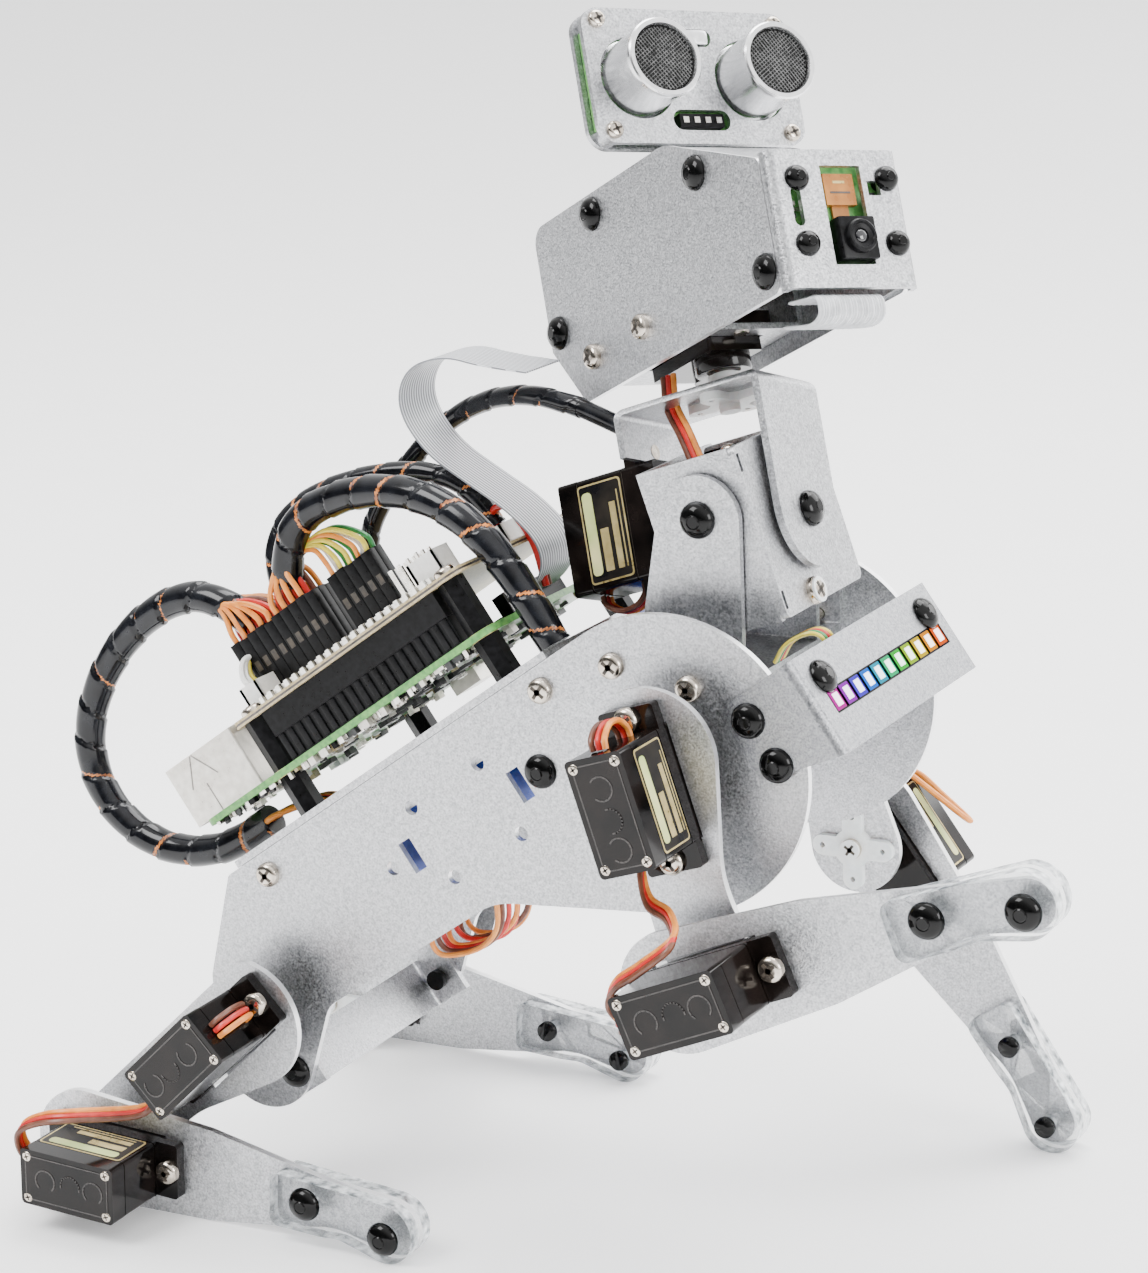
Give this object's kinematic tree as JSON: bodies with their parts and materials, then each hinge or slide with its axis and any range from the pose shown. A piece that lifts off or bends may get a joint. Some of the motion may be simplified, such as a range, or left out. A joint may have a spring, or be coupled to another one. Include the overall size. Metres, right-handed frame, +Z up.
{
  "type": "four-legged robot kit",
  "caption": "Small servo-driven robot dog of folded aluminium sheet, sitting with a raised front paw, with stacked circuit boards on its back and an ultrasonic sensor on its head.",
  "frame": {"origin": "Middle of the footprint of the whole robot without its free cables, on the surface it sits on.", "axes": "+X points the way the body faces, +Y to the robot's left, +Z up."},
  "size_m": [0.2408, 0.1402, 0.2406],
  "materials": {
    "battery": "blue shrink wrap",
    "board": "printed circuit board with components",
    "camera": "camera board with a black lens block",
    "fastener": "black push rivets and nickel-plated pan-head screws",
    "horn": "white moulded cross horn with a steel screw",
    "light": "row of coloured lamps on a board",
    "pad": "clear acrylic with black rivets",
    "ribbon": "grey striped flat cable",
    "servo": "smoked near-black moulded case",
    "sheet": "sandblasted aluminium sheet with bright cut edges",
    "sonar": "turned aluminium cans on a green board",
    "standoff": "black nylon standoffs",
    "tan_board": "printed circuit board, laminate edge",
    "wrap": "black spiral wrap over coloured wires"
  },
  "bodies": {
    "torso": {"side_plate_right": "sheet", "side_plate_left": "sheet", "rear_strap": "sheet", "deck_plate": "sheet", "chest_bracket": "sheet", "light_board": "light", "neck_bracket": "sheet", "battery_pack": "battery", "computer_board": "board", "driver_board": "tan_board", "board_standoffs": "standoff", "frame_fasteners": "fastener", "servo_horns": "horn", "harness_rear_loop": "wrap", "harness_front_loop": "wrap", "harness_thin_loop": "wrap", "harness_head_loop": "wrap", "camera_ribbon": "ribbon"},
    "front_right_thigh": {"front_right_hip_servo": "servo", "front_right_upper_leg": "sheet", "front_right_knee_horn": "horn"},
    "front_right_shin": {"front_right_knee_servo": "servo", "front_right_lower_leg": "sheet", "front_right_foot_pads": "pad"},
    "front_left_thigh": {"front_left_hip_servo": "servo", "front_left_upper_leg": "sheet", "front_left_knee_horn": "horn"},
    "front_left_shin": {"front_left_knee_servo": "servo", "front_left_lower_leg": "sheet", "front_left_foot_pads": "pad"},
    "rear_right_thigh": {"rear_right_hip_servo": "servo", "rear_right_upper_leg": "sheet", "rear_right_knee_horn": "horn"},
    "rear_right_shin": {"rear_right_knee_servo": "servo", "rear_right_lower_leg": "sheet", "rear_right_foot_pads": "pad"},
    "rear_left_thigh": {"rear_left_hip_servo": "servo", "rear_left_upper_leg": "sheet", "rear_left_knee_horn": "horn"},
    "rear_left_shin": {"rear_left_knee_servo": "servo", "rear_left_lower_leg": "sheet", "rear_left_foot_pads": "pad"},
    "neck": {"neck_box_shell": "sheet", "neck_front_plate": "sheet", "neck_pitch_servo": "servo", "neck_horn_and_fasteners": "fastener"},
    "yoke": {"yoke_bracket": "sheet", "neck_roll_servo": "servo", "head_yaw_horn": "horn"},
    "head": {"head_side_right": "sheet", "head_side_left": "sheet", "head_face_cover": "sheet", "head_top_cover": "sheet", "touch_board": "tan_board", "head_servo_shelf": "sheet", "head_yaw_servo": "servo", "camera_module": "camera", "sonar_plates": "sheet", "sonar_module": "sonar", "head_fasteners": "fastener"}
  },
  "joints": [
    {"name": "front_right_hip", "type": "hinge", "parent": "torso", "child": "front_right_thigh", "pos_m": [0.02824, 0, 0.10692], "axis": [0, 1, 0], "range_deg": [-60, 60]},
    {"name": "front_right_knee", "type": "hinge", "parent": "front_right_thigh", "child": "front_right_shin", "pos_m": [0.04094, 0, 0.06688], "axis": [0, 1, 0], "range_deg": [-42, 80]},
    {"name": "front_left_hip", "type": "hinge", "parent": "torso", "child": "front_left_thigh", "pos_m": [0.02824, 0, 0.10692], "axis": [0, 1, 0], "range_deg": [-60, 40]},
    {"name": "front_left_knee", "type": "hinge", "parent": "front_left_thigh", "child": "front_left_shin", "pos_m": [0.0338, 0, 0.06528], "axis": [0, 1, 0], "range_deg": [-90, 40]},
    {"name": "rear_right_hip", "type": "hinge", "parent": "torso", "child": "rear_right_thigh", "pos_m": [-0.06806, 0, 0.04048], "axis": [0, 1, 0], "range_deg": [-60, 30]},
    {"name": "rear_right_knee", "type": "hinge", "parent": "rear_right_thigh", "child": "rear_right_shin", "pos_m": [-0.09878, 0, 0.01183], "axis": [0, 1, 0], "range_deg": [-4, 80]},
    {"name": "rear_left_hip", "type": "hinge", "parent": "torso", "child": "rear_left_thigh", "pos_m": [-0.06806, 0, 0.04048], "axis": [0, 1, 0], "range_deg": [-60, 30]},
    {"name": "rear_left_knee", "type": "hinge", "parent": "rear_left_thigh", "child": "rear_left_shin", "pos_m": [-0.09878, 0, 0.01183], "axis": [0, 1, 0], "range_deg": [-4, 80]},
    {"name": "neck_pitch", "type": "hinge", "parent": "torso", "child": "neck", "pos_m": [0.02929, 0, 0.1478], "axis": [0, 1, 0], "range_deg": [-2, 18]},
    {"name": "neck_roll", "type": "hinge", "parent": "neck", "child": "yoke", "pos_m": [0.03098, 0, 0.14272], "axis": [0.9489, 0, 0.3156], "range_deg": [-45, 28]},
    {"name": "head_yaw", "type": "hinge", "parent": "yoke", "child": "head", "pos_m": [0.01752, 0.01344, 0.18318], "axis": [-0.301, 0.3007, 0.905], "range_deg": [-60, 90]}
  ]
}
